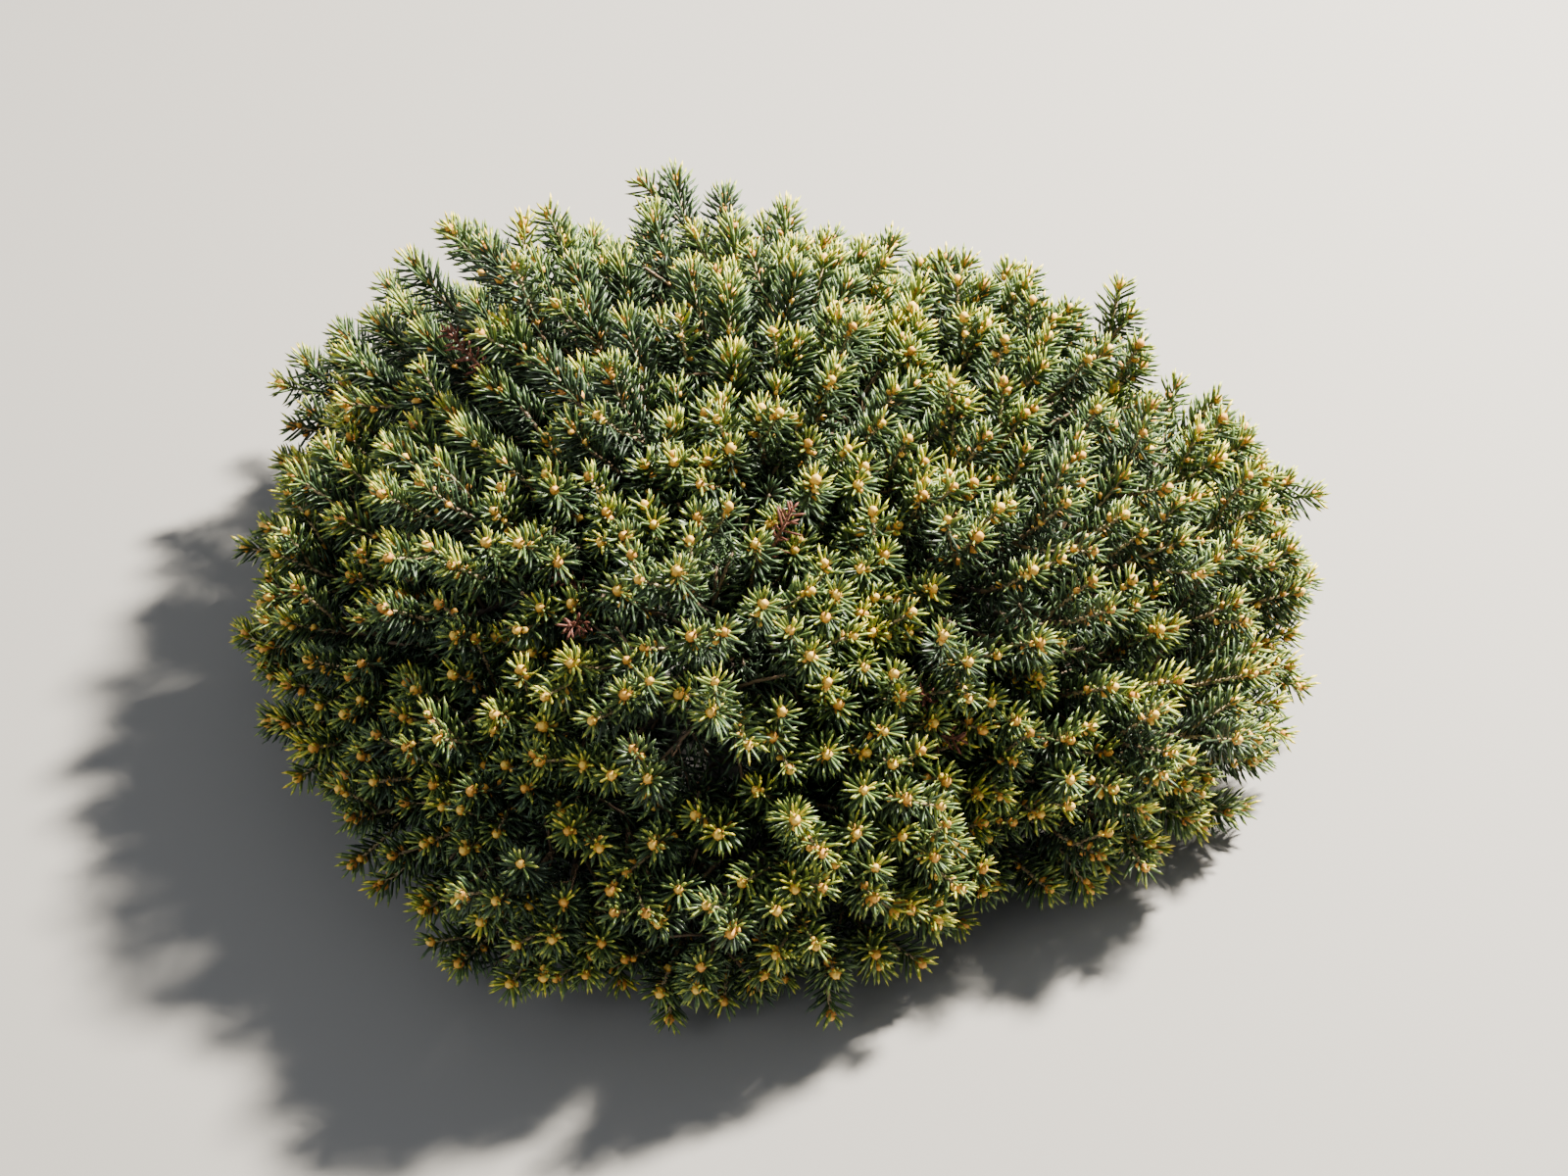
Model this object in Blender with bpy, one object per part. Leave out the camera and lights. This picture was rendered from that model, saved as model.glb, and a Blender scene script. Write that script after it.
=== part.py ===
"""A dwarf cushion spruce growing in the ground: a short flared stem, its boughs and dense masses of shoots.

Metres, +Z up. The origin is the centre of the stem's flat cut at ground level. The plant's front, the
side it is mostly seen from, faces -Y.
"""

import math
import random

import bmesh
import bpy
from mathutils import Vector

SEED = 7
UP = Vector((0.0, 0.0, 1.0))
GOLDEN_ANGLE = math.pi * (3.0 - math.sqrt(5.0))

# Crown: all boughs fan out from one heart, and the tips of the shoots lie on a dome round it
HEART_HEIGHT = 0.045
CROWN_RADIUS = 0.236
CROWN_RISE = 0.166
SKIRT_DROP = 0.038
DOME_POWER = 2.1
TWO_LOBES = (0.039, math.radians(-21.0))
THREE_LOBES = (0.063, math.radians(6.0))
VALLEY_DEPTH = 0.13
VALLEY_REACH = math.radians(18.0)

# Stem
STEM_HEIGHT = 0.060
STEM_FOOT_RADIUS = 0.024
STEM_RADIUS = 0.0135
STEM_TOP_RADIUS = 0.0125
FLARE_HEIGHT = 0.013
FLARE_RIBS = 5
FLARE_RIB_DEPTH = 0.20
STEM_LEAN = (-0.003, 0.002)
STEM_SIDES = 20
STEM_RINGS = 7
STEM_RINGS_CROWD = 1.6

# Boughs: (name, how many, elevation, first azimuth, heights at which they leave the stem)
TIERS = (
    ("skirt", 8, math.radians(7.0), math.radians(-78.0), (0.018, 0.029)),
    ("shoulder", 6, math.radians(37.0), math.radians(-95.0), (0.040, 0.047)),
    ("top", 3, math.radians(71.0), math.radians(-40.0), (0.057,)),
)
AZIMUTH_JITTER = math.radians(5.0)
ELEVATION_JITTER = math.radians(3.0)
BOUGH_ROOT_RADIUS = 0.0050
BOUGH_TIP_RADIUS = 0.0034
BOUGH_SHARE = 0.36
BOUGH_SIDES = 6
BOUGH_RINGS = 5
BOUGH_ROOT_OFFSET = 0.0066
BOUGH_START_SLOPE = 0.20
BOUGH_BEND = 0.42
BOUGH_STRAIGHT = 0.020
SMOOTH_BELOW = math.radians(50.0)

# Foliage masses: shares are of the distance from the heart to the tips
CLEARANCE = 0.0003
MASS_MARGIN = 0.0006
LOWEST_FOLIAGE = 0.005
FOLIAGE_START = 0.42
CORE_SHARE = 0.74
CORE_CENTRE = 0.62
CORE_DENT = 0.14
CORE_MARGIN = 0.0015
CORE_LOWEST = 0.016
CORE_STEPS = 24
MASS_STEM_SIDES = 5
MASS_STEM_TIP_RADIUS = 0.0024

# Shoots: tips dealt over the dome, each shoot as (fan, inward) shares tried in turn until it fits its mass
SHOOTS_TRIED = 50
SHOOT_SPREAD = math.radians(40.0)
SHOOT_TRIES = ((0.0, 0.0), (0.5, 0.0), (1.0, 0.0), (1.0, 0.12), (1.0, 0.25))
LOWEST_SLOPE = -0.16
LOWEST_TIP = 0.017
SHOOT_LIFT = 0.36
LEAST_LIFT = 0.4
SHOOT_LENGTH = 0.043
SHOOT_LENGTH_SPREAD = 0.12
ROOT_DEPTH = 0.016
TWIG_RADIUS = 0.0016
SPRAY_RADIUS = 0.0034
SPRAY_TAPER = 0.35
NEEDLE_REACH = 0.0135
NEEDLE_TAPER = 0.3
NEEDLE_SWEEP = 0.0105
BARE_TIP = 0.0084
NEEDLE_RINGS = 3
NEEDLE_COLUMNS = 6


def clear_scene():
    for thing in list(bpy.data.objects):
        bpy.data.objects.remove(thing, do_unlink=True)


def finish(name, colour, roughness):
    """A matt material of the part's own colour."""
    material = bpy.data.materials.new(name)
    material.use_nodes = True
    shader = material.node_tree.nodes["Principled BSDF"]
    shader.inputs["Base Color"].default_value = (*colour, 1.0)
    shader.inputs["Roughness"].default_value = roughness
    shader.inputs["Metallic"].default_value = 0.0
    return material


def new_object(name, mesh, material=None):
    thing = bpy.data.objects.new(name, mesh)
    bpy.context.scene.collection.objects.link(thing)
    if material is not None:
        mesh.materials.append(material)
    return thing


def across(direction):
    """Two unit vectors square to a direction, and to each other."""
    side = direction.cross(UP)
    if side.length < 0.05:
        side = direction.cross(Vector((1.0, 0.0, 0.0)))
    side.normalize()
    return side, direction.cross(side).normalized()


def bearing(azimuth, elevation):
    level = math.cos(elevation)
    return Vector((level * math.cos(azimuth), level * math.sin(azimuth), math.sin(elevation)))


def dome_reach(direction):
    """How far the tips stand from the heart in a direction, before the valleys between masses."""
    azimuth = math.atan2(direction.y, direction.x)
    level = math.hypot(direction.x, direction.y)
    two, three = TWO_LOBES, THREE_LOBES
    lobes = two[0] * math.cos(2 * (azimuth - two[1])) + three[0] * math.cos(3 * (azimuth - three[1]))
    radius = CROWN_RADIUS * (1.0 + lobes)
    rise = CROWN_RISE if direction.z > 0 else SKIRT_DROP
    power = DOME_POWER
    return ((level / radius) ** power + (abs(direction.z) / rise) ** power) ** (-1.0 / power)


HEART = Vector((0.0, 0.0, HEART_HEIGHT))


class Mass:
    """One bough's share of the crown: the cone of space nearer to its axis than to any other."""

    def __init__(self, name, axis, leaves_stem):
        self.name = name
        self.axis = axis
        self.leaves_stem = leaves_stem
        self.middle = HEART + axis * (CORE_CENTRE * dome_reach(axis))
        self.walls = []

    def set_neighbours(self, axes):
        self.walls = [(self.axis - other).normalized() for other in axes if other != self.axis]

    def wall_gap(self, point):
        """Distance from the nearest wall of this space, negative outside it."""
        from_heart = point - HEART
        return min(from_heart.dot(wall) for wall in self.walls)

    def reach(self, direction):
        to_wall = math.asin(max(0.0, min(1.0, min(direction.dot(wall) for wall in self.walls))))
        valley = max(0.0, 1.0 - to_wall / VALLEY_REACH) ** 2
        return dome_reach(direction) * (1.0 - VALLEY_DEPTH * valley)

    def holds(self, points, margin, lowest):
        """Whether all points lie inside this space, above the ground and further out than the bough's tip."""
        first = FOLIAGE_START * dome_reach(self.axis)
        clear = (p.z > lowest and (p - HEART).dot(self.axis) > first for p in points)
        return all(clear) and all(self.wall_gap(p) > margin for p in points)


def share_out_crown(dice):
    """The masses, tier by tier, each with its axis and the height at which its bough leaves the stem."""
    masses = []
    for tier, count, elevation, first, heights in TIERS:
        for index in range(count):
            azimuth = first + 2 * math.pi * index / count + dice.uniform(-1, 1) * AZIMUTH_JITTER
            tilt = elevation + dice.uniform(-1, 1) * ELEVATION_JITTER
            axis = bearing(azimuth, tilt)
            masses.append(Mass(f"{tier}_{index + 1}", axis, heights[index % len(heights)]))
    axes = [mass.axis for mass in masses]
    for mass in masses:
        mass.set_neighbours(axes)
    return masses


def ring(mesh, centre, side, other, radii, phase=0.0):
    """A loop of vertices round a centre, one for each radius."""
    count = len(radii)
    loop = []
    for index, radius in enumerate(radii):
        angle = phase + 2 * math.pi * index / count
        loop.append(mesh.verts.new(centre + radius * (math.cos(angle) * side + math.sin(angle) * other)))
    return loop


def join_rings(mesh, lower, upper):
    count = len(lower)
    for index in range(count):
        after = (index + 1) % count
        mesh.faces.new((lower[index], lower[after], upper[after], upper[index]))


def mesh_from(name, working, smooth=False):
    bmesh.ops.recalc_face_normals(working, faces=working.faces)
    mesh = bpy.data.meshes.new(name)
    working.to_mesh(mesh)
    working.free()
    if smooth:
        mesh.shade_smooth()
        mesh.set_sharp_from_angle(angle=SMOOTH_BELOW)
    return mesh


def limb_mesh(name, points, radii, sides, end_way):
    """A tapering limb with flat ends, its rings square to the line through the points."""
    working = bmesh.new()
    loops = []
    for index, point in enumerate(points):
        before = points[max(index - 1, 0)]
        last = index == len(points) - 1
        way = end_way if last else (points[index + 1] - before).normalized()
        side, other = across(way)
        loops.append(ring(working, point, side, other, [radii[index]] * sides))
    for lower, upper in zip(loops, loops[1:]):
        join_rings(working, lower, upper)
    working.faces.new(loops[0])
    working.faces.new(loops[-1])
    return mesh_from(name, working, smooth=True)


def stem_mesh(name, swell=0.0):
    """The stem's flared foot and shaft. A swell makes the slightly larger form that fits boughs to it."""
    working = bmesh.new()
    loops = []
    for index in range(STEM_RINGS):
        share = index / (STEM_RINGS - 1)
        height = STEM_HEIGHT * share**STEM_RINGS_CROWD
        shaft = STEM_RADIUS + (STEM_TOP_RADIUS - STEM_RADIUS) * height / STEM_HEIGHT
        flare = math.exp(-height / FLARE_HEIGHT)
        radii = []
        for side in range(STEM_SIDES):
            rib = math.cos(FLARE_RIBS * 2 * math.pi * side / STEM_SIDES)
            foot = (STEM_FOOT_RADIUS - STEM_RADIUS) * (1.0 + rib * FLARE_RIB_DEPTH)
            radii.append(shaft + foot * flare + swell)
        centre = Vector((STEM_LEAN[0] * share, STEM_LEAN[1] * share, height))
        if swell:
            centre.z += swell * (1 if index == STEM_RINGS - 1 else -1)
        loops.append(ring(working, centre, Vector((1, 0, 0)), Vector((0, 1, 0)), radii))
    for lower, upper in zip(loops, loops[1:]):
        join_rings(working, lower, upper)
    working.faces.new(loops[0])
    working.faces.new(loops[-1])
    return mesh_from(name, working, smooth=True)


def bezier(points, share):
    """A point on the curve that the control points draw."""
    while len(points) > 1:
        points = [a.lerp(b, share) for a, b in zip(points, points[1:])]
    return points[0]


def bough_end(mass):
    return HEART + mass.axis * (BOUGH_SHARE * dome_reach(mass.axis))


def bough_line(mass):
    """From inside the stem, out and up, and into the mass along the mass's own axis."""
    level = Vector((mass.axis.x, mass.axis.y, 0.0)).normalized()
    end = bough_end(mass)
    foot = Vector((STEM_LEAN[0], STEM_LEAN[1], STEM_HEIGHT)) * (mass.leaves_stem / STEM_HEIGHT)
    root = foot + level * BOUGH_ROOT_OFFSET
    rising = mass.leaves_stem > STEM_HEIGHT - BOUGH_ROOT_RADIUS
    way = UP if rising else (level + UP * BOUGH_START_SLOPE).normalized()
    line = [root, root + way * BOUGH_BEND * (end - root).length, end - mass.axis * BOUGH_STRAIGHT, end]
    return [bezier(line, t / (BOUGH_RINGS - 1)) for t in range(BOUGH_RINGS)]


def make_bough(mass, cutter, bark):
    """A tapering limb, its root cut to the stem's form."""
    narrowing = (BOUGH_TIP_RADIUS - BOUGH_ROOT_RADIUS) / (BOUGH_RINGS - 1)
    radii = [BOUGH_ROOT_RADIUS + narrowing * index for index in range(BOUGH_RINGS)]
    name = f"bough_{mass.name}"
    bough = new_object(name, limb_mesh(name, bough_line(mass), radii, BOUGH_SIDES, mass.axis), bark)
    fit = bough.modifiers.new("fit_to_stem", "BOOLEAN")
    fit.operation = "DIFFERENCE"
    fit.object = cutter
    fit.solver = "EXACT"
    return bough


def core_mesh(mass, dice):
    """The dense inside of a mass: a ball grown out to the walls of its space and to the roots of its shoots."""
    working = bmesh.new()
    bmesh.ops.create_icosphere(working, subdivisions=2, radius=1.0)

    def inside(point):
        out = point - HEART
        full = mass.reach(out.normalized())
        return out.length < CORE_SHARE * full and mass.holds([point], CORE_MARGIN, CORE_LOWEST)

    for vertex in working.verts:
        direction = vertex.co.normalized()
        low, high = 0.0, CROWN_RADIUS
        for _ in range(CORE_STEPS):
            half = (low + high) / 2
            if inside(mass.middle + direction * half):
                low = half
            else:
                high = half
        vertex.co = mass.middle + direction * low * (1.0 - CORE_DENT * dice.random())
    return mesh_from("core", working)


def spray_mesh(root, tip, needled, phase):
    """A shoot with its needles: a slim core whose rings are drawn out, in turn, into forward-swept needles."""
    direction = (tip - root).normalized()
    side, other = across(direction)
    bare = (tip - root).length - needled
    working = bmesh.new()
    start = ring(working, root, side, other, [TWIG_RADIUS] * NEEDLE_COLUMNS, phase)
    loops = [start]
    for index in range(NEEDLE_RINGS):
        share = index / NEEDLE_RINGS
        centre = root + direction * (bare + (needled - BARE_TIP) * share)
        slim = SPRAY_RADIUS * (1.0 - SPRAY_TAPER * share)
        loop = ring(working, centre, side, other, [slim] * NEEDLE_COLUMNS, phase)
        needle = NEEDLE_REACH * (1.0 - NEEDLE_TAPER * share)
        for column in range(index % 2, NEEDLE_COLUMNS, 2):
            outward = (loop[column].co - centre).normalized()
            loop[column].co = centre + outward * needle + direction * NEEDLE_SWEEP
        loops.append(loop)
    for number, (lower, upper) in enumerate(zip(loops, loops[1:])):
        for column in range(NEEDLE_COLUMNS):
            after = (column + 1) % NEEDLE_COLUMNS
            a, b, c, d = lower[column], lower[after], upper[after], upper[column]
            if (column + number) % 2:
                working.faces.new((a, b, c))
                working.faces.new((a, c, d))
            else:
                working.faces.new((a, b, d))
                working.faces.new((b, c, d))
    top = working.verts.new(tip)
    for column in range(NEEDLE_COLUMNS):
        working.faces.new((loops[-1][column], loops[-1][(column + 1) % NEEDLE_COLUMNS], top))
    working.faces.new(start)
    return mesh_from("spray", working)


def shoot_directions(mass):
    """Directions from the heart, dealt evenly over the mass's share of the dome by the golden angle."""
    side, other = across(mass.axis)
    tried = round(SHOOTS_TRIED * (dome_reach(mass.axis) / CROWN_RADIUS) ** 2)
    for index in range(tried):
        turn = index * GOLDEN_ANGLE
        tilt = SHOOT_SPREAD * math.sqrt((index + 0.5) / tried)
        sideways = math.cos(turn) * side + math.sin(turn) * other
        direction = mass.axis * math.cos(tilt) + sideways * math.sin(tilt)
        if mass.wall_gap(HEART + direction) > 0 and direction.z > LOWEST_SLOPE:
            yield direction


def grow_shoot(mass, direction, stretch, phase):
    """A spray with its tip on the dome, fanned out or moved in where it would leave the mass, or else skipped."""
    lift = SHOOT_LIFT * min(1.0, LEAST_LIFT + max(0.0, direction.z))
    for fan, inward in SHOOT_TRIES:
        heading = direction.lerp(mass.axis, inward).normalized()
        reach = mass.reach(heading)
        tip = HEART + heading * reach
        tip.z = max(tip.z, LOWEST_TIP)
        upward = (heading + UP * lift).normalized()
        way = upward.lerp((tip - mass.middle).normalized(), fan).normalized()
        root = tip - way * ((1.0 - CORE_SHARE) * reach * stretch + ROOT_DEPTH)
        mesh = spray_mesh(root, tip, SHOOT_LENGTH * stretch, phase)
        if mass.holds([vertex.co for vertex in mesh.vertices], MASS_MARGIN, LOWEST_FOLIAGE):
            return mesh
        bpy.data.meshes.remove(mesh)
    return None


def grow_shoots(mass, dice):
    shoots = []
    for direction in shoot_directions(mass):
        stretch = 1.0 + dice.uniform(-1, 1) * SHOOT_LENGTH_SPREAD
        shoots.append(grow_shoot(mass, direction, stretch, dice.uniform(0, math.pi)))
    return [shoot for shoot in shoots if shoot is not None]


def make_mass(mass, dice, needles):
    """A stem from the bough's tip, the core, and the shoots that stand out of it, joined into one solid."""
    begin = bough_end(mass) + mass.axis * CLEARANCE
    radii = [BOUGH_TIP_RADIUS, MASS_STEM_TIP_RADIUS]
    stem = limb_mesh("stem", [begin, mass.middle], radii, MASS_STEM_SIDES, mass.axis)
    body = new_object(f"foliage_{mass.name}", stem, needles)
    parts = bpy.data.collections.new("parts")
    bpy.context.scene.collection.children.link(parts)
    for mesh in [core_mesh(mass, dice)] + grow_shoots(mass, dice):
        parts.objects.link(bpy.data.objects.new("sprig", mesh))
    union = body.modifiers.new("join", "BOOLEAN")
    union.operation = "UNION"
    union.operand_type = "COLLECTION"
    union.collection = parts
    union.solver = "EXACT"
    bpy.context.view_layer.update()
    bpy.context.view_layer.objects.active = body
    bpy.ops.object.modifier_apply(modifier=union.name)
    for sprig in list(parts.objects):
        bpy.data.objects.remove(sprig, do_unlink=True)
    bpy.data.collections.remove(parts)
    keep_largest_shell(body.data)


def shell_from(face, unseen):
    """All faces joined to a face by edges, taken out of the unseen ones."""
    shell = [face]
    for member in shell:
        for edge in member.edges:
            for neighbour in edge.link_faces:
                if neighbour in unseen:
                    unseen.remove(neighbour)
                    shell.append(neighbour)
    return shell


def keep_largest_shell(mesh):
    """Drops loose scraps and fills sealed hollows, by keeping only the largest closed shell."""
    working = bmesh.new()
    working.from_mesh(mesh)
    bmesh.ops.triangulate(working, faces=working.faces)
    unseen = set(working.faces)
    shells = []
    while unseen:
        shells.append(shell_from(unseen.pop(), unseen))
    shells.sort(key=len)
    for shell in shells[:-1]:
        bmesh.ops.delete(working, geom=shell, context="FACES")
    working.to_mesh(mesh)
    working.free()


def make_stem(bark):
    """The stem, and the hidden form, larger by the clearance, that the boughs' roots are cut with."""
    new_object("trunk", stem_mesh("trunk"), bark)
    cutter = new_object("stem_fit", stem_mesh("stem_fit", CLEARANCE))
    cutter.hide_render = True
    cutter.display_type = "WIRE"
    return cutter


def build():
    clear_scene()
    dice = random.Random(SEED)
    bark = finish("bark", (0.20, 0.13, 0.08), 0.85)
    needles = finish("needles", (0.10, 0.17, 0.05), 0.55)
    cutter = make_stem(bark)
    for mass in share_out_crown(dice):
        make_bough(mass, cutter, bark)
        make_mass(mass, dice, needles)


build()
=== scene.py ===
"""A dwarf cushion spruce rooted in the ground, with its bark, twigs, needles and buds."""

import math
import random

import bpy
import numpy as np
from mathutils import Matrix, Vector, noise


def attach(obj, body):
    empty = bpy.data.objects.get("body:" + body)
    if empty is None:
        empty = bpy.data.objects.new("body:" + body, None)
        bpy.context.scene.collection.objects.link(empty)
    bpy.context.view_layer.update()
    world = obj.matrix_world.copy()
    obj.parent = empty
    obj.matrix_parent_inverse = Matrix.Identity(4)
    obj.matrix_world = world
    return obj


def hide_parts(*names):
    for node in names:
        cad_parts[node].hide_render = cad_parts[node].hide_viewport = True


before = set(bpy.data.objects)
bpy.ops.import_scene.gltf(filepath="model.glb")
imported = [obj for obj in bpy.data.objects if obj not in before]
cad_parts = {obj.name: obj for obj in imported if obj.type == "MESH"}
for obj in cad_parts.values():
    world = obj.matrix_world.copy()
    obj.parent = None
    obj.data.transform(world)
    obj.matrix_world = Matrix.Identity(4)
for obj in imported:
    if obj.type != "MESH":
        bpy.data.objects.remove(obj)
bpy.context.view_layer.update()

UP = np.array([0.0, 0.0, 1.0])
GOLDEN_ANGLE = math.pi * (3.0 - math.sqrt(5.0))

# The crown's rule, as in the part's source: tips on a dome round one heart, a mass of foliage to each bough
SEED = 7
HEART = np.array([0.0, 0.0, 0.045])
CROWN_RADIUS = 0.236
CROWN_RISE = 0.166
SKIRT_DROP = 0.038
DOME_POWER = 2.1
SKIRT_POWER = 4.0
TWO_LOBES = (0.039, math.radians(-21.0))
THREE_LOBES = (0.063, math.radians(6.0))
VALLEY_DEPTH = 0.12
VALLEY_REACH = math.radians(13.0)
STEM_HEIGHT = 0.060
STEM_FOOT_RADIUS = 0.024
STEM_RADIUS = 0.0135
STEM_TOP_RADIUS = 0.0125
FLARE_HEIGHT = 0.013
FLARE_RIBS = 5
FLARE_RIB_DEPTH = 0.20
STEM_LEAN = np.array([-0.003, 0.002, 0.060])
TIERS = (
    ("skirt", 8, math.radians(7.0), math.radians(-78.0), (0.018, 0.029)),
    ("shoulder", 6, math.radians(37.0), math.radians(-95.0), (0.040, 0.047)),
    ("top", 3, math.radians(71.0), math.radians(-40.0), (0.057,)),
)
AZIMUTH_JITTER = math.radians(5.0)
ELEVATION_JITTER = math.radians(3.0)
BOUGH_ROOT_RADIUS = 0.0050
BOUGH_TIP_RADIUS = 0.0034
BOUGH_SHARE = 0.36
BOUGH_ROOT_OFFSET = 0.0066
BOUGH_START_SLOPE = 0.20
BOUGH_BEND = 0.42
BOUGH_STRAIGHT = 0.020

# Bark relief on trunk and boughs
STEM_RINGS = 64
STEM_SIDES = 72
BOUGH_RINGS = 56
BOUGH_SIDES = 24
FLAKE_SIZE = 0.0038
FLAKE_STRETCH = 0.55
FLAKE_DEPTH = 0.0009
BARK_SWELL = 0.0006
SINK = 0.004
RISING_SINK = 0.014

# Finer growth: leaders that carry the tips, side shoots on them, and shaded shoots further in
GROWTH_SEED = 23
LEADERS_TRIED = 82
LEADER_SPREAD = math.radians(40.0)
TIP_OVERHANG = 0.002
HILL_HEIGHT = 0.012
HILL_SPACING = 8.0
LOWEST_SLOPE = -0.17
LOWEST_TIP = 0.012
LEADER_NEEDLES = 0.072
LIFT = 0.50
LEAST_LIFT = 0.75
LEAN = 0.75
SIDE_SHOOTS = (1, 3)
SHADE_SHOOTS = 3
INNER_TRIED = 90
INNER_SHARE = (0.58, 0.84)
INNER_NEEDLES = 0.062

# Needles
LEADER_NEEDLE = 0.0136
SIDE_NEEDLE = 0.0130
NEEDLE_RADIUS = 0.00074
NEEDLES_PER_MM = 1.7
SHADED_NEEDLES_PER_MM = 0.95


def unit(vector):
    return vector / np.linalg.norm(vector)


def across(direction):
    """Two unit vectors square to a direction: the level one, and the one nearest to straight up."""
    level = np.cross(direction, UP)
    if np.linalg.norm(level) < 0.05:
        level = np.cross(direction, np.array([1.0, 0.0, 0.0]))
    level = unit(level)
    return level, np.cross(level, direction)


def bearing(azimuth, elevation):
    level = math.cos(elevation)
    return np.array([level * math.cos(azimuth), level * math.sin(azimuth), math.sin(elevation)])


def dome_reach(direction):
    """How far the tips stand from the heart in a direction."""
    azimuth = math.atan2(direction[1], direction[0])
    level = math.hypot(direction[0], direction[1])
    two, three = TWO_LOBES, THREE_LOBES
    lobes = two[0] * math.cos(2 * (azimuth - two[1])) + three[0] * math.cos(3 * (azimuth - three[1]))
    radius = CROWN_RADIUS * (1.0 + lobes)
    rise, power = (CROWN_RISE, DOME_POWER) if direction[2] > 0 else (SKIRT_DROP, SKIRT_POWER)
    return ((level / radius) ** power + (abs(direction[2]) / rise) ** power) ** (-1.0 / power)


class Mass:
    """One bough's share of the crown: the cone of space nearer to its axis than to any other."""

    def __init__(self, name, axis, leaves_stem):
        self.name = name
        self.axis = axis
        self.leaves_stem = leaves_stem
        self.walls = None

    def to_wall(self, direction):
        return math.asin(max(-1.0, min(1.0, float((self.walls @ direction).min()))))

    def reach(self, direction):
        valley = max(0.0, 1.0 - max(0.0, self.to_wall(direction)) / VALLEY_REACH) ** 2
        return dome_reach(direction) * (1.0 - VALLEY_DEPTH * valley)


def share_out_crown():
    dice = random.Random(SEED)
    masses = []
    for tier, count, elevation, first, heights in TIERS:
        for index in range(count):
            azimuth = first + 2 * math.pi * index / count + dice.uniform(-1, 1) * AZIMUTH_JITTER
            tilt = elevation + dice.uniform(-1, 1) * ELEVATION_JITTER
            masses.append(Mass(f"{tier}_{index + 1}", bearing(azimuth, tilt), heights[index % len(heights)]))
    for mass in masses:
        mass.walls = np.array([unit(mass.axis - other.axis) for other in masses if other is not mass])
    return masses


class Shoot:
    """A twig on a bent line of three control points, with needles along its outer part."""

    def __init__(self, start, bend, tip, needled, radii, age, buds):
        self.points = np.array([start, bend, tip])
        self.length = float(np.linalg.norm(bend - start) + np.linalg.norm(tip - bend)) * 0.97
        self.needled = min(needled, self.length * 0.96)
        self.radii = radii
        self.age = age
        self.buds = buds
        self.comb = 0.0
        self.tint = 0.0
        self.dry = False

    def at(self, share):
        share = np.asarray(share, float)[..., None]
        start, bend, tip = self.points
        return (1 - share) ** 2 * start + 2 * share * (1 - share) * bend + share**2 * tip

    def heading(self, share):
        share = np.asarray(share, float)[..., None]
        start, bend, tip = self.points
        way = (1 - share) * (bend - start) + share * (tip - bend)
        return way / np.linalg.norm(way, axis=-1, keepdims=True)


def spread_directions(mass, tried, first_turn):
    """Directions from the heart, dealt evenly over the mass's share of the dome by the golden angle."""
    side, other = across(mass.axis)
    tried = round(tried * (dome_reach(mass.axis) / CROWN_RADIUS) ** 2 * (1.15 if mass.axis[2] < 0.3 else 1.0))
    for index in range(tried):
        turn = first_turn + index * GOLDEN_ANGLE
        tilt = LEADER_SPREAD * math.sqrt((index + 0.5) / tried)
        sideways = math.cos(turn) * side + math.sin(turn) * other
        direction = mass.axis * math.cos(tilt) + sideways * math.sin(tilt)
        if mass.to_wall(direction) > 0 and direction[2] > LOWEST_SLOPE:
            yield direction, tilt


# Where the photo's outline swells past the dome or falls short of it: azimuth, half width, height
SWELLS = ((-5, 14, 0.010), (-56, 18, -0.009), (-104, 15, 0.009), (-132, 14, -0.009), (143, 16, 0.009), (90, 32, 0.006), (66, 16, 0.006))


def swell(direction):
    azimuth = math.degrees(math.atan2(direction[1], direction[0]))
    total = sum(height * math.exp(-(((azimuth - place + 180) % 360 - 180) / width) ** 2) for place, width, height in SWELLS)
    return total * (1.0 - max(0.0, float(direction[2])) ** 4)


# The top and upper left of the crown, where long plumes stand side by side and lean away from the front
COMB_MIDDLE = bearing(math.radians(122.0), math.radians(49.0))
COMB_EDGE = math.cos(math.radians(62.0))
COMB_FULL = math.cos(math.radians(36.0))
LEAN_FROM = np.array([-0.025, -0.120, 0.0])


def comb_share(direction):
    return min(1.0, max(0.0, (float(direction @ COMB_MIDDLE) - COMB_EDGE) / (COMB_FULL - COMB_EDGE)))


def grow_leader(mass, direction, tilt, dice):
    """A bent twig from the mass's own stem out to the dome, turning upward at its tip."""
    comb = comb_share(direction)
    low = (0.07 if direction[2] < 0.35 else 0.11 + 0.05 * comb) * dice.random() ** 3
    low -= (0.022 + 0.022 * comb) if dice.random() < 0.16 and direction[2] < 0.8 else 0.0
    reach = mass.reach(direction) + swell(direction) - TIP_OVERHANG - 0.005 * max(0.0, direction[2])
    reach *= 1.0 - low
    tip = HEART + direction * (reach + HILL_HEIGHT * noise.noise(Vector(direction) * HILL_SPACING))
    tip[2] = max(tip[2], LOWEST_TIP)
    own = dome_reach(mass.axis)
    start = HEART + mass.axis * own * (BOUGH_SHARE + 0.02 + 0.22 * max(0.0, 1.0 - tilt / LEADER_SPREAD))
    lift = LIFT * min(1.0, LEAST_LIFT + max(0.0, direction[2])) * (1.0 - 0.7 * comb)
    outward = unit((tip - LEAN_FROM) * np.array([1.0, 1.0, 0.0])) * LEAN * comb
    way = unit(direction + UP * lift + outward + np.array([dice.gauss(0, 0.08) for _ in range(3)]))
    bend = tip - way * 0.5 * np.linalg.norm(tip - start)
    bend[2] = max(bend[2], LOWEST_TIP)
    buds = dice.choice((2, 3, 4, 4, 5)) + round(2.5 * comb)
    leader = Shoot(start, bend, tip, LEADER_NEEDLES, (0.0018, 0.0007), 0.0, buds)
    leader.comb = comb
    return leader


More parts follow.
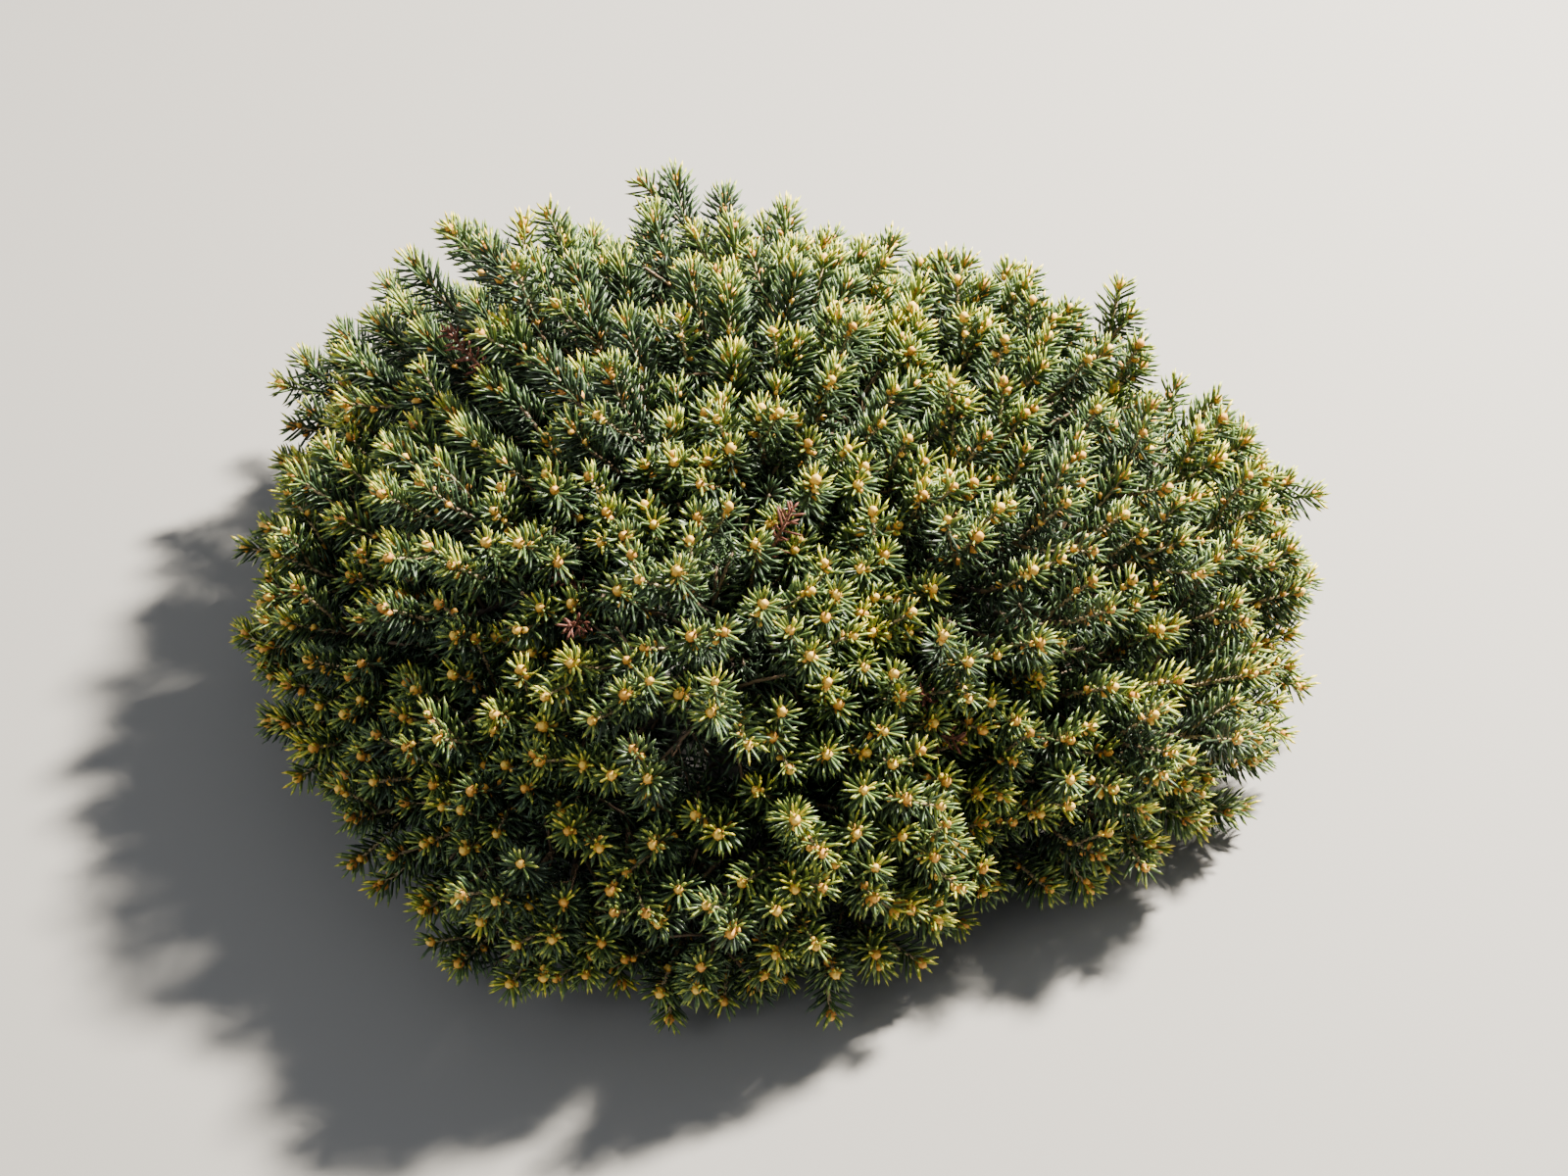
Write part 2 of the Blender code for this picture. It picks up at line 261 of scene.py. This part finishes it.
def grow_side_shoots(leader, dice):
    """Shorter shoots to the left, right and top of a leader's outer half, each bent forward."""
    shoots = []
    count = round(dice.randint(*SIDE_SHOOTS) * (1.0 - 0.72 * leader.comb))
    turn = dice.uniform(0, 2 * math.pi)
    for index in range(count):
        back = 0.013 + 0.044 * (index + dice.uniform(0.1, 0.9)) / count
        share = 1.0 - back / leader.length
        start, heading = leader.at(share), leader.heading(share)
        level, top = across(heading)
        turn += GOLDEN_ANGLE
        around = math.cos(turn) * level + (0.35 + math.sin(turn)) * top
        length = min(0.036, 0.011 + back * 0.62) * dice.uniform(0.8, 1.1)
        way = unit(heading * 0.85 + unit(around) * 0.62)
        tip = start + way * length + (heading + UP * 0.5) * length * 0.18
        bend = start + way * length * 0.55
        if tip[2] > LOWEST_TIP * 0.8:
            shoots.append(Shoot(start, bend, tip, length * 0.92, (0.0010, 0.0007), 0.0, dice.choice((0, 0, 1, 1, 2, 3))))
    return shoots


def grow_inner(mass, direction, tilt, dice):
    """A shaded twig that ends inside the crown and closes the view between the leaders."""
    tip = HEART + direction * dome_reach(direction) * dice.uniform(*INNER_SHARE)
    tip[2] = max(tip[2], LOWEST_TIP)
    start = HEART + mass.axis * dome_reach(mass.axis) * dice.uniform(0.38, 0.48)
    way = unit(direction + UP * 0.2 + np.array([dice.gauss(0, 0.35) for _ in range(3)]))
    bend = tip - way * 0.5 * np.linalg.norm(tip - start)
    bend[2] = max(bend[2], LOWEST_TIP)
    return Shoot(start, bend, tip, INNER_NEEDLES, (0.0015, 0.0008), 1.0, 0)


def grow_shade_shoots(leader, dice):
    """Old bare-looking shoots deep inside, in the leader's shade."""
    shoots = []
    for _ in range(SHADE_SHOOTS):
        back = dice.uniform(0.045, 0.120)
        share = max(0.06, 1.0 - back / leader.length)
        start, heading = leader.at(share), leader.heading(share)
        level, top = across(heading)
        turn = dice.uniform(0, 2 * math.pi)
        way = unit(heading * 0.55 + math.cos(turn) * level + math.sin(turn) * top)
        tip = start + way * dice.uniform(0.024, 0.040)
        if tip[2] > LOWEST_TIP:
            shoots.append(Shoot(start, (start + tip) / 2 + UP * 0.002, tip, 0.030, (0.0010, 0.0007), 1.0, 0))
    return shoots


class Signal:
    """One output of a material's nodes, which adds, multiplies and compares like a number."""

    def __init__(self, finish, socket):
        self.finish = finish
        self.socket = socket

    def math(self, operation, *others):
        return self.finish.node("ShaderNodeMath", {"operation": operation}, dict(enumerate((self, *others))))

    def __add__(self, other):
        return self.math("ADD", other)

    def __sub__(self, other):
        return self.math("SUBTRACT", other)

    def __mul__(self, other):
        return self.math("MULTIPLY", other)

    def __rsub__(self, other):
        return self.finish.node("ShaderNodeMath", {"operation": "SUBTRACT"}, {0: other, 1: self})

    __radd__ = __add__
    __rmul__ = __mul__

    def clamped(self):
        return self.finish.node("ShaderNodeClamp", {}, {"Value": self})


class Finish:
    """A material of procedural nodes on the object's own coordinates."""

    def __init__(self, name):
        self.material = bpy.data.materials.new(name)
        self.material.use_nodes = True
        self.tree = self.material.node_tree
        self.shader = self.tree.nodes["Principled BSDF"]

    def feed(self, socket, value):
        if isinstance(value, Signal):
            self.tree.links.new(value.socket, socket)
        else:
            socket.default_value = value

    def node(self, kind, settings, inputs, output=0):
        made = self.tree.nodes.new(kind)
        for name, value in settings.items():
            setattr(made, name, value)
        for name, value in inputs.items():
            self.feed(made.inputs[name], value)
        return Signal(self, made.outputs[output])

    def blend(self, share, first, second):
        made = {"data_type": "RGBA"}
        return self.node("ShaderNodeMix", made, {0: share, 6: first, 7: second}, 2)

    def noise(self, place, scale, detail=4.0):
        return self.node("ShaderNodeTexNoise", {}, {"Vector": place, "Scale": scale, "Detail": detail})


def bark_finish(name, outer, inner, crack):
    """Thin scaly bark: small dull scales with darker rims, redder where the outer ones have come off."""
    finish = Finish(name)
    place = finish.node("ShaderNodeTexCoord", {}, {}, "Object")
    drawn = finish.node("ShaderNodeMapping", {}, {"Vector": place, "Scale": (1.0, 1.0, FLAKE_STRETCH)})
    scales = finish.node("ShaderNodeTexVoronoi", {}, {"Vector": drawn, "Scale": 620.0, "Randomness": 1.0})
    grain = finish.noise(place, 1500.0)
    patch = ((finish.noise(place, 150.0) - 0.45) * 4.0).clamped()
    streak = finish.noise(drawn, 420.0)
    worn = finish.blend(patch, outer, inner)
    depth = ((streak - 0.40) * 3.0).clamped() * 0.75 + (0.25 - scales * 0.25)
    finish.feed(finish.shader.inputs["Base Color"], finish.blend(depth.clamped(), crack, worn))
    finish.feed(finish.shader.inputs["Roughness"], 0.75 + grain * 0.22)
    relief = depth * 0.8 + grain * 0.4
    bump = finish.node("ShaderNodeBump", {}, {"Height": relief, "Distance": 0.0005, "Strength": 0.8})
    finish.feed(finish.shader.inputs["Normal"], bump)
    return finish.material


def limb(name, line, radii, sides):
    """A tapering limb along a line of points: a bevelled curve turned into a closed mesh."""
    curve = bpy.data.curves.new(name, "CURVE")
    curve.dimensions = "3D"
    curve.bevel_depth = 1.0
    curve.bevel_resolution = sides // 2 - 2
    curve.use_fill_caps = True
    spline = curve.splines.new("POLY")
    spline.points.add(len(line) - 1)
    for point, centre, radius in zip(spline.points, line, radii):
        point.co = (*centre, 1.0)
        point.radius = radius
    piece = bpy.data.objects.new(name, curve)
    bpy.context.scene.collection.objects.link(piece)
    bpy.ops.object.select_all(action="DESELECT")
    piece.select_set(True)
    bpy.context.view_layer.objects.active = piece
    bpy.ops.object.convert(target="MESH")
    bpy.ops.object.mode_set(mode="EDIT")
    bpy.ops.mesh.select_all(action="SELECT")
    bpy.ops.mesh.remove_doubles(threshold=0.00001)
    bpy.ops.object.mode_set(mode="OBJECT")
    return bpy.context.object


def roughen(piece, ribs):
    """Moves the surface in and out by flakes and slow swellings; ribs widens the foot of the trunk."""
    mesh = piece.data
    ends = {index for face in mesh.polygons if len(face.vertices) > 4 for index in face.vertices}
    for vertex in mesh.vertices:
        place, out = vertex.co.copy(), vertex.normal.copy()
        drawn = Vector((place.x, place.y, place.z * FLAKE_STRETCH)) / FLAKE_SIZE
        near, next_near = noise.voronoi(drawn)[0][:2]
        flake = min(1.0, (next_near - near) * 2.2) - 1.0
        swell = noise.fractal(place * 90.0, 1.0, 2.0, 3)
        shift = FLAKE_DEPTH * flake + BARK_SWELL * swell
        if ribs:
            level = Vector((place.x, place.y, 0.0)) - Vector(STEM_LEAN * (place.z / STEM_HEIGHT)).to_2d().to_3d()
            wave = math.cos(FLARE_RIBS * math.atan2(level.y, level.x)) * FLARE_RIB_DEPTH
            foot = (STEM_FOOT_RADIUS - STEM_RADIUS) * math.exp(-place.z / FLARE_HEIGHT) * wave
            vertex.co = place + level.normalized() * foot
        if vertex.index not in ends:
            vertex.co += out * shift
        vertex.co.z = max(vertex.co.z, 0.0)
    mesh.shade_smooth()


def finish_limb(piece, node, bark, ribs=False):
    roughen(piece, ribs)
    piece.data.materials.clear()
    piece.data.materials.append(bark)
    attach(piece, "root")
    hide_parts(node)


def dress_trunk(bark):
    """The short stem, flared at the foot and rounded where the top boughs leave it."""
    line, radii = [], []
    for ring in range(STEM_RINGS + 1):
        share = (ring / STEM_RINGS) ** 1.15
        height = STEM_HEIGHT * share
        straight = STEM_RADIUS + (STEM_TOP_RADIUS - STEM_RADIUS) * share
        flare = (STEM_FOOT_RADIUS - STEM_RADIUS) * math.exp(-height / FLARE_HEIGHT)
        rounding = math.sqrt(max(0.04, 1.0 - max(0.0, (share - 0.90) / 0.10) ** 2))
        lean = STEM_LEAN * (0.0 if ring < 2 else share)
        line.append((lean[0], lean[1], height))
        radii.append((straight + flare) * rounding)
    finish_limb(limb("bark_trunk", line, radii, STEM_SIDES), "trunk", bark, ribs=True)


def bough_points(mass):
    """The four control points of a bough, as in the part's source."""
    level = unit(np.array([mass.axis[0], mass.axis[1], 0.0]))
    end = HEART + mass.axis * BOUGH_SHARE * dome_reach(mass.axis)
    root = STEM_LEAN * (mass.leaves_stem / STEM_HEIGHT) + level * BOUGH_ROOT_OFFSET
    rising = mass.leaves_stem > STEM_HEIGHT - BOUGH_ROOT_RADIUS
    way = UP if rising else unit(level + UP * BOUGH_START_SLOPE)
    reach = float(np.linalg.norm(end - root))
    return root, root + way * BOUGH_BEND * reach, end - mass.axis * BOUGH_STRAIGHT, end


def dress_boughs(masses, bark):
    for mass in masses:
        points = bough_points(mass)
        way = unit(points[1] - points[0])
        line = [tuple(points[0] - way * (RISING_SINK if way[2] > 0.9 else SINK))]
        radii = [BOUGH_ROOT_RADIUS]
        for ring in range(BOUGH_RINGS + 1):
            share = ring / BOUGH_RINGS
            weights = ((1 - share) ** 3, 3 * share * (1 - share) ** 2, 3 * share**2 * (1 - share), share**3)
            line.append(tuple(sum(weight * point for weight, point in zip(weights, points))))
            taper = BOUGH_ROOT_RADIUS + (BOUGH_TIP_RADIUS - BOUGH_ROOT_RADIUS) * share
            radii.append(taper * (1.0 + 0.30 * math.exp(-share * 9.0)))
        finish_limb(limb(f"bark_bough_{mass.name}", line, radii, BOUGH_SIDES), f"bough_{mass.name}", bark)


# Plain finishes of the foliage, dealt out by spray, from the shaded inside to the new tips: the darker ones stand
# partly for older needles and partly for painted shade, and each shoot's top side is painted a step lighter as
# painted light
FOLIAGE_FINISHES = (
    ("needle_shade", (0.025, 0.044, 0.023), 0.46),
    ("needle_dark", (0.040, 0.074, 0.033), 0.42),
    ("needle_green", (0.078, 0.134, 0.040), 0.38),
    ("needle_light", (0.200, 0.268, 0.050), 0.38),
    ("needle_fresh", (0.480, 0.500, 0.050), 0.44),
    ("needle_gold", (0.940, 0.730, 0.060), 0.50),
    ("needle_dry", (0.190, 0.062, 0.040), 0.70),
)
SHADE, DARK, GREEN, LIGHT, FRESH, GOLD, DRY = range(len(FOLIAGE_FINISHES))


class MeshStore:
    """Vertices, faces and finishes gathered from many small shapes, joined into one mesh at the end."""

    def __init__(self):
        self.vertices, self.faces, self.finishes, self.count = [], [], [], 0

    def add(self, vertices, faces, finishes):
        """vertices: (shapes, points, 3); faces: (faces, 3) of one shape; finishes: (shapes, faces)."""
        shapes, points = vertices.shape[:2]
        offsets = self.count + points * np.arange(shapes)
        self.vertices.append(vertices.reshape(-1, 3))
        self.faces.append((faces[None] + offsets[:, None, None]).reshape(-1, 3))
        self.finishes.append(np.broadcast_to(finishes, (shapes, len(faces))).reshape(-1))
        self.count += shapes * points

    def build(self, name, materials):
        vertices = np.concatenate(self.vertices)
        faces = np.concatenate(self.faces)
        mesh = bpy.data.meshes.new(name)
        mesh.vertices.add(len(vertices))
        mesh.vertices.foreach_set("co", vertices.astype(np.float32).ravel())
        mesh.loops.add(faces.size)
        mesh.loops.foreach_set("vertex_index", faces.astype(np.int32).ravel())
        mesh.polygons.add(len(faces))
        mesh.polygons.foreach_set("loop_start", np.arange(0, faces.size, 3, dtype=np.int32))
        mesh.update(calc_edges=True)
        for material in materials:
            mesh.materials.append(material)
        mesh.polygons.foreach_set("material_index", np.concatenate(self.finishes).astype(np.int32))
        mesh.shade_smooth()
        mesh.validate()
        piece = bpy.data.objects.new(name, mesh)
        bpy.context.scene.collection.objects.link(piece)
        return piece


def tube_faces(rings, sides, closed_start=True, pointed=False):
    """Triangles of a tube: rings of vertices, a flat start, and a flat or pointed end."""
    faces = []
    for ring in range(rings - 1):
        for side in range(sides):
            a, b = ring * sides + side, ring * sides + (side + 1) % sides
            faces += [(a, b, b + sides), (a, b + sides, a + sides)]
    if closed_start:
        faces += [(0, side + 1, side) for side in range(1, sides - 1)]
    last = (rings - 1) * sides
    if pointed:
        faces += [(last + side, last + (side + 1) % sides, rings * sides) for side in range(sides)]
    else:
        faces += [(last, last + side, last + side + 1) for side in range(1, sides - 1)]
    return np.array(faces)


NEEDLE_SIDES = 3
NEEDLE_FACES = tube_faces(2, NEEDLE_SIDES, pointed=True)
SPARE_NEEDLE_FACES = np.array(
    [(0, 1 + (side + 1) % NEEDLE_SIDES, 1 + side) for side in range(NEEDLE_SIDES)]
    + [(1 + side, 1 + (side + 1) % NEEDLE_SIDES, 1 + NEEDLE_SIDES) for side in range(NEEDLE_SIDES)]
)
NEEDLE_TURNS = np.arange(NEEDLE_SIDES) * 2 * math.pi / NEEDLE_SIDES


def add_needles(store, shoot, dice):
    """Needles in a spiral along a shoot: spread in its middle, short and closed over the bud at its tip."""
    per_mm = SHADED_NEEDLES_PER_MM if shoot.age > 0.5 or shoot.dry else NEEDLES_PER_MM
    count = max(8, int(shoot.needled * 1000 * per_mm * (1.0 + 0.2 * shoot.comb)))
    back = shoot.needled * ((np.arange(count) + dice.uniform(0.0, 0.6, count)) / count) ** 1.2
    thinning = np.clip((back - 0.040) / 0.045, 0.0, 0.55) * (1.0 - 0.8 * shoot.comb)
    back = back[dice.random(count) > thinning]
    count = len(back)
    share = 1.0 - back / shoot.length
    base, heading = shoot.at(share), shoot.heading(share)
    level = np.cross(heading, UP)
    level /= np.maximum(np.linalg.norm(level, axis=1, keepdims=True), 1e-6)
    top = np.cross(level, heading)
    turn = np.arange(count) * GOLDEN_ANGLE + dice.uniform(0, 6.28) + dice.normal(0, 0.1, count)
    around = np.cos(turn)[:, None] * level + np.sin(turn)[:, None] * top
    near_tip = np.clip(1.0 - back / 0.009, 0.0, 1.0)
    spread = np.radians(60.0 - 22.0 * near_tip + dice.normal(0, 3.5, count) - 10.0 * np.sin(turn))
    spread -= np.radians(7.0) * shoot.comb
    full = LEADER_NEEDLE if shoot.length > 0.045 else SIDE_NEEDLE
    length = full * (1.0 - 0.28 * near_tip**1.6) * (1.0 + 0.08 * shoot.comb) * dice.uniform(0.88, 1.06, count)
    if shoot.dry:
        length *= dice.uniform(0.45, 0.8, count)
    way = np.cos(spread)[:, None] * heading + np.sin(spread)[:, None] * around
    outward = around - way * np.sum(around * way, axis=1, keepdims=True)
    bow = (0.016 + 0.012 * near_tip) * length
    begin = base - way * 0.0004
    middle = base + way * (0.76 * length)[:, None] + outward * bow[:, None]
    tip = base + way * length[:, None] + heading * (0.025 * length)[:, None]
    side = np.cross(way, outward)
    side /= np.maximum(np.linalg.norm(side, axis=1, keepdims=True), 1e-6)
    front = np.cross(side, way)
    width = NEEDLE_RADIUS * dice.uniform(0.85, 1.1, count)
    rim = np.cos(NEEDLE_TURNS)[None, :, None] * side[:, None] + np.sin(NEEDLE_TURNS)[None, :, None] * front[:, None]
    # Finish of each needle: lighter within 8 mm of the tip, where the needles are newest; a step lighter on the
    # shoot's top side and darker on its underside, painted light from above; darker further back, partly older
    # needles and partly painted shade of the crown's inside; darker behind the tip along the plumes; random tone by
    # needle and by spray
    glow = np.clip(1.0 - back / 0.008, 0.0, 1.0)
    lit = 1.45 + 1.55 * glow + 0.45 * np.sin(turn) + dice.normal(0, 0.5, count) + shoot.tint
    lit -= np.clip((back - 0.008) / 0.026, 0.0, 1.8) + 0.5 * shoot.comb * (1.0 - glow)
    # Inner and shade shoots draw only the darkest finishes at random: older needles, and painted shade deep in the
    # crown
    if shoot.age > 0.5:
        lit = dice.uniform(-0.5, 1.2, count)
    body = np.clip(np.round(lit), SHADE, FRESH).astype(int)
    point = np.clip(np.round(lit + 1.0), SHADE, GOLD).astype(int)
    if shoot.dry:
        body[:], point[:] = DRY, DRY
    upper = middle[:, None] + rim * width[:, None, None]
    lower = begin[:, None] + rim * (0.75 * width)[:, None, None]
    fine = (back < 0.034 + 0.020 * shoot.comb) & (shoot.age < 0.5)
    clear = np.minimum(tip[:, 2], upper[:, :, 2].min(axis=1)) > 0.0008
    full_shape = np.concatenate([lower, upper, tip[:, None]], axis=1)
    spare_shape = np.concatenate([begin[:, None], (upper + middle[:, None] - way[:, None] * 0.002) / 2, tip[:, None]], axis=1)
    spare_shape[:, 1:-1] = middle[:, None] - way[:, None] * 0.0016 + rim * (width * 1.05)[:, None, None]
    for chosen, shape, faces, pointed in (
        (clear & fine, full_shape, NEEDLE_FACES, NEEDLE_SIDES),
        (clear & ~fine, spare_shape, SPARE_NEEDLE_FACES, NEEDLE_SIDES),
    ):
        finishes = np.repeat(body[chosen, None], len(faces), axis=1)
        finishes[:, -pointed:] = point[chosen, None]
        if chosen.any():
            store.add(shape[chosen], faces, finishes)


BUD_FINISHES = (
    ("bud_brown", (0.330, 0.125, 0.026), 0.56),
    ("bud_orange", (0.580, 0.245, 0.032), 0.56),
    ("bud_tan", (0.780, 0.390, 0.050), 0.58),
    ("bud_cream", (0.920, 0.580, 0.095), 0.60),
)
BUD_FORMS = {
    "tip": (8, ((0.0, 0.45), (0.20, 0.95), (0.48, 1.0), (0.76, 0.62))),
    "side": (6, ((0.0, 0.55), (0.32, 1.0), (0.70, 0.70))),
}
BUD_FACES = {form: tube_faces(len(profile), sides, pointed=True) for form, (sides, profile) in BUD_FORMS.items()}
BUD_RIDGE = 0.84


def add_bud(store, form, base, way, size, warmth):
    """A round bud, ridged by its scales, paler towards its top."""
    sides, profile = BUD_FORMS[form]
    level, top = across(way)
    turns = np.arange(sides) * 2 * math.pi / sides
    rings = []
    for number, (along, wide) in enumerate(profile):
        ridge = np.where((np.arange(sides) + number) % 2, BUD_RIDGE, 1.0)
        rim = np.cos(turns)[:, None] * level + np.sin(turns)[:, None] * top
        rings.append(base + way * along * size * 1.12 + rim * (wide * size * 0.5 * ridge)[:, None])
    vertices = np.concatenate(rings + [(base + way * size * 1.12)[None]])
    low = int(np.clip(round(warmth), 0, 1))
    finishes = np.full(len(BUD_FACES[form]), low)
    upper = sides * 2 * (len(profile) - 2)
    finishes[upper - sides * 2 : upper : 2] = low + 1
    finishes[upper : upper + sides * 2] = low + 1
    finishes[-sides:] = min(3, low + 2)
    store.add(vertices[None], BUD_FACES[form], finishes[None])


def add_buds(store, shoot, dice):
    """A bud at the tip, up to two just under it, and on a strong shoot a row further back."""
    warmth = dice.uniform(0.0, 1.2)
    tip, heading = shoot.points[2], shoot.heading(1.0)
    size = dice.uniform(0.0046, 0.0058) if shoot.length > 0.045 else dice.uniform(0.0042, 0.0053)
    add_bud(store, "tip", tip - heading * 0.0014, heading, size, warmth)
    turn = dice.uniform(0, 6.28)
    gathered = int(dice.integers(0, 3)) if shoot.buds else 0
    back = dice.uniform(0.006, 0.009)
    for number in range(shoot.buds):
        turn += 2.6 + dice.uniform(-0.4, 0.4)
        if number < gathered:
            away, lean = 0.0030 + 0.0012 * number, 1.0
        else:
            away, lean = back, 1.6
            back += dice.uniform(0.0055, 0.0100)
        share = 1.0 - away / shoot.length
        forward = shoot.heading(share)
        level, top = across(forward)
        around = math.cos(turn) * level + math.sin(turn) * top
        way = unit(forward + around * lean)
        place = shoot.at(share) + around * 0.0008
        add_bud(store, "side", place, way, size * dice.uniform(0.64, 0.86), warmth + dice.normal(0, 0.2))


TWIG_FINISHES = (
    ("twig_young", (0.400, 0.290, 0.150), 0.62),
    ("twig_brown", (0.170, 0.110, 0.062), 0.70),
    ("twig_old", (0.075, 0.054, 0.040), 0.80),
    ("twig_dry", (0.190, 0.075, 0.045), 0.80),
)
TWIG_YOUNG, TWIG_BROWN, TWIG_OLD, TWIG_DRY = range(len(TWIG_FINISHES))
TWIG_FORMS = {"long": (5, 6), "short": (3, 4)}
TWIG_FACES = {form: tube_faces(rings, sides) for form, (rings, sides) in TWIG_FORMS.items()}


def mass_stem(mass):
    """The bough's continuation through its mass of foliage, which the leaders leave."""
    own = dome_reach(mass.axis)
    start, tip = HEART + mass.axis * own * (BOUGH_SHARE - 0.03), HEART + mass.axis * own * 0.66
    stem = Shoot(start, (start + tip) / 2, tip, 0.03, (0.0034, 0.0014), 1.0, 0)
    return stem


def add_twig(store, shoot):
    """The shoot's own stem: old at its root, brown along its middle, young and pale at its tip."""
    form = "long" if shoot.length > 0.045 else "short"
    ring_count, sides = TWIG_FORMS[form]
    shares = np.linspace(0.0, 0.99, ring_count)
    centres, headings = shoot.at(shares), shoot.heading(shares)
    turns = np.arange(sides) * 2 * math.pi / sides
    rings = []
    for share, centre, heading in zip(shares, centres, headings):
        level, top = across(heading)
        radius = shoot.radii[0] + (shoot.radii[1] - shoot.radii[0]) * share
        rings.append(centre + radius * (np.cos(turns)[:, None] * level + np.sin(turns)[:, None] * top))
    finishes = np.full(len(TWIG_FACES[form]), TWIG_YOUNG)
    if shoot.dry:
        finishes[:] = TWIG_DRY
    elif shoot.age > 0.5:
        finishes[:] = TWIG_BROWN
    elif form == "long":
        finishes[: sides * 2 * 2] = TWIG_OLD
        finishes[sides * 2 * 2 : sides * 2 * 3] = TWIG_BROWN
    store.add(np.concatenate(rings)[None], TWIG_FACES[form], finishes[None])


# Directions, as azimuth and elevation in degrees, in which a spray inside the crown has dried out
DRY_SPRAYS = ((-122.0, 41.0, 4), (-90.0, 53.0, 4), (-58.0, 25.0, 1), (-19.0, 22.0, 1), (60.0, 35.0, 2), (150.0, 30.0, 2))
DRY_WITHIN = math.cos(math.radians(4.0))


def grow_mass(mass, dice, numbers):
    """All shoots of one mass, each with its tint."""
    dry = [(bearing(math.radians(azimuth), math.radians(tilt)), count) for azimuth, tilt, count in DRY_SPRAYS]
    shoots = [mass_stem(mass)]
    for direction, tilt in spread_directions(mass, INNER_TRIED, 1.9):
        inner = grow_inner(mass, direction, tilt, dice)
        shoots.append(inner)
    for direction, tilt in spread_directions(mass, LEADERS_TRIED, 0.0):
        if dice.random() < 0.12 * comb_share(direction):
            continue
        leader = grow_leader(mass, direction, tilt, dice)
        sprays = [leader] + grow_side_shoots(leader, dice)
        shade = grow_shade_shoots(leader, dice)
        tint = dice.gauss(0.0, 0.28)
        withered = max((count for place, count in dry if float(direction @ place) > DRY_WITHIN), default=0)
        for shoot in sprays + shade:
            shoot.tint = tint + dice.gauss(0.0, 0.15)
        for shoot in sprays[1 : 1 + withered]:
            shoot.dry = True
        shoots += sprays + shade
    return shoots


def plain_finish(name, colour, roughness):
    material = bpy.data.materials.new(name)
    material.use_nodes = True
    shader = material.node_tree.nodes["Principled BSDF"]
    shader.inputs["Base Color"].default_value = (*colour, 1.0)
    shader.inputs["Roughness"].default_value = roughness
    return material


def dress_mass(mass, finishes, dice):
    """Needles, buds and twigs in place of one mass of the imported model."""
    numbers = np.random.default_rng(dice.randrange(1 << 30))
    needles, buds, twigs = MeshStore(), MeshStore(), MeshStore()
    for shoot in grow_mass(mass, dice, numbers):
        add_needles(needles, shoot, numbers)
        add_twig(twigs, shoot)
        if shoot.age < 0.5 and not shoot.dry:
            add_buds(buds, shoot, numbers)
    for kind, store, slot in (("needles", needles, "needles"), ("buds", buds, "needles"), ("twigs", twigs, "bark")):
        piece = store.build(f"{kind}_{mass.name}", finishes[kind])
        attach(piece, "root")
        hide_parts(f"foliage_{mass.name}")


def dress_foliage(masses):
    dice = random.Random(GROWTH_SEED)
    finishes = {
        "needles": [plain_finish(*row) for row in FOLIAGE_FINISHES],
        "buds": [plain_finish(*row) for row in BUD_FINISHES],
        "twigs": [plain_finish(*row) for row in TWIG_FINISHES],
    }
    for mass in masses:
        dress_mass(mass, finishes, dice)


# Camera and light
AIM = Vector((0.0155, -0.0307, 0.090))
CAMERA_DISTANCE = 1.9
CAMERA_ELEVATION = math.radians(42.0)
LENS_MM = 97.2


def set_stage():
    bpy.ops.mesh.primitive_plane_add(size=12.0, location=(0.0, 0.0, 0.0))
    floor = bpy.context.object
    floor.name = "floor"
    floor.data.materials.append(plain_finish("pale_floor", (0.27, 0.26, 0.25), 0.85))
    world = bpy.data.worlds.new("studio")
    world.use_nodes = True
    world.node_tree.nodes["Background"].inputs["Color"].default_value = (0.86, 0.92, 1.0, 1.0)
    world.node_tree.nodes["Background"].inputs["Strength"].default_value = 0.34
    bpy.context.scene.world = world
    add_light("key", (1.25, 0.95, 1.75), 0.26, 500.0, (1.0, 0.94, 0.82))
    add_light("fill", (-1.6, -1.6, 1.5), 1.6, 18.0, (0.88, 0.94, 1.0))


def add_light(name, place, size, watts, colour):
    bpy.ops.object.light_add(type="AREA", location=place)
    light = bpy.context.object
    light.name = name
    light.data.shape = "DISK"
    light.data.size = size
    light.data.energy = watts
    light.data.color = colour
    light.rotation_euler = (AIM - Vector(place)).to_track_quat("-Z", "Y").to_euler()


def set_camera():
    back = Vector((0.0, -math.cos(CAMERA_ELEVATION), math.sin(CAMERA_ELEVATION)))
    bpy.ops.object.camera_add(location=AIM + back * CAMERA_DISTANCE)
    camera = bpy.context.object
    camera.name = "camera"
    camera.data.lens = LENS_MM
    camera.data.sensor_width = 36.0
    camera.rotation_euler = (-back).to_track_quat("-Z", "Y").to_euler()
    bpy.context.scene.camera = camera


bpy.ops.object.select_all(action="DESELECT")
masses = share_out_crown()
bark = bark_finish("bark", (0.150, 0.122, 0.098, 1.0), (0.195, 0.128, 0.090, 1.0), (0.050, 0.037, 0.028, 1.0))
dress_trunk(bark)
dress_boughs(masses, bark)
dress_foliage(masses)
set_stage()
set_camera()
